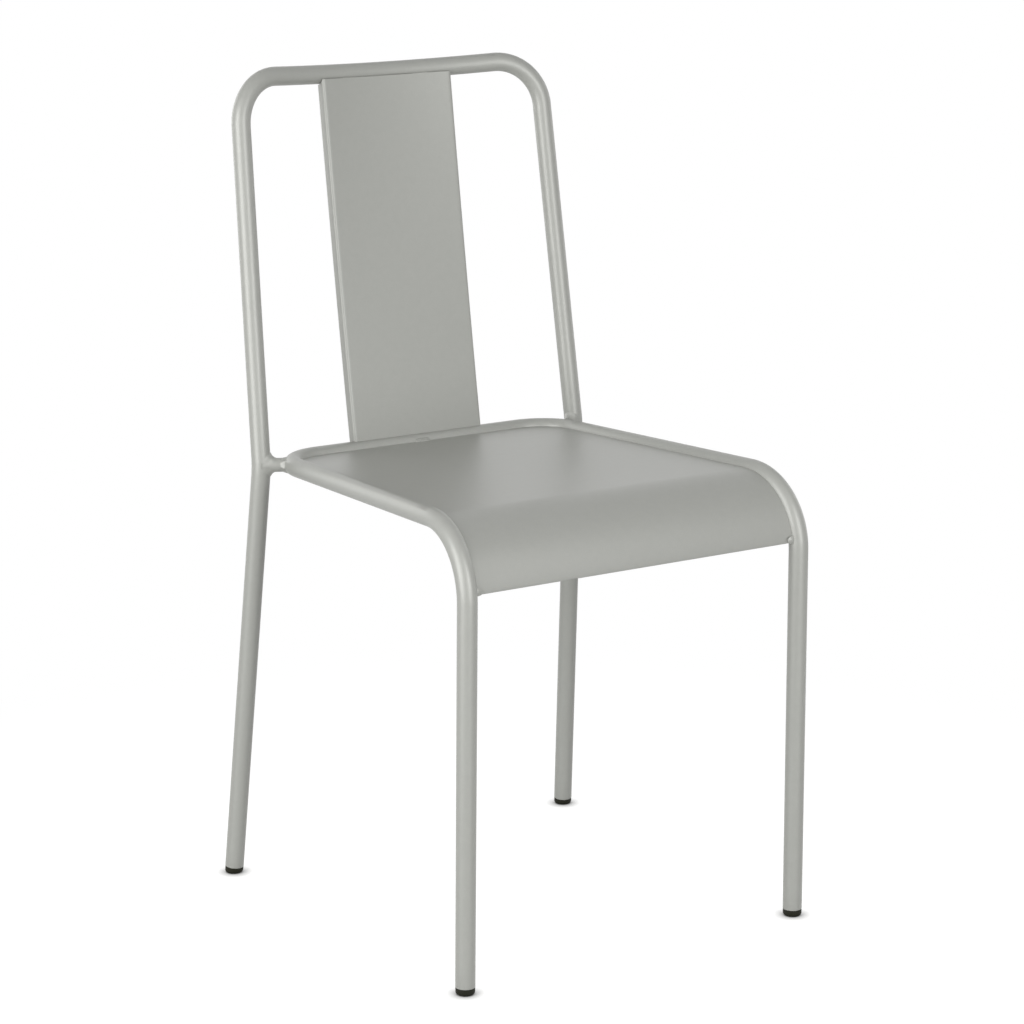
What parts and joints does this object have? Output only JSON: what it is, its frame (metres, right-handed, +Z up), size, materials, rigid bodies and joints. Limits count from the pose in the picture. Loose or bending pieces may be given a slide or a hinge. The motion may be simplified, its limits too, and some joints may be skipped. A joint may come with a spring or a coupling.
{
  "type": "outdoor metal chair",
  "caption": "Outdoor metal chair: bent-tube frames, a sheet seat that rolls down into a front apron, a folded sheet back splat and plastic glides under the legs.",
  "frame": {"origin": "on the floor, at the middle of the chair's overall width and depth", "axes": "+Z up, the sitter faces -Y, +X is the right-hand side seen from the front"},
  "size_m": [0.429, 0.4752, 0.8201],
  "materials": {
    "powder_coat": "satin",
    "black_plastic": "matte"
  },
  "bodies": {
    "root": {"back_frame": "powder_coat", "seat_frame": "powder_coat", "seat_panel": "powder_coat", "back_splat": "powder_coat", "left_link_rod": "powder_coat", "right_link_rod": "powder_coat", "left_rod_back_weld": "powder_coat", "left_rod_seat_weld": "powder_coat", "right_rod_back_weld": "powder_coat", "right_rod_seat_weld": "powder_coat", "seat_left_welds": "powder_coat", "seat_right_welds": "powder_coat", "seat_rear_welds": "powder_coat", "apron_corner_welds": "powder_coat", "splat_top_welds": "powder_coat", "splat_bottom_welds": "powder_coat", "front_left_glide": "black_plastic", "front_right_glide": "black_plastic", "rear_left_glide": "black_plastic", "rear_right_glide": "black_plastic"}
  },
  "joints": []
}
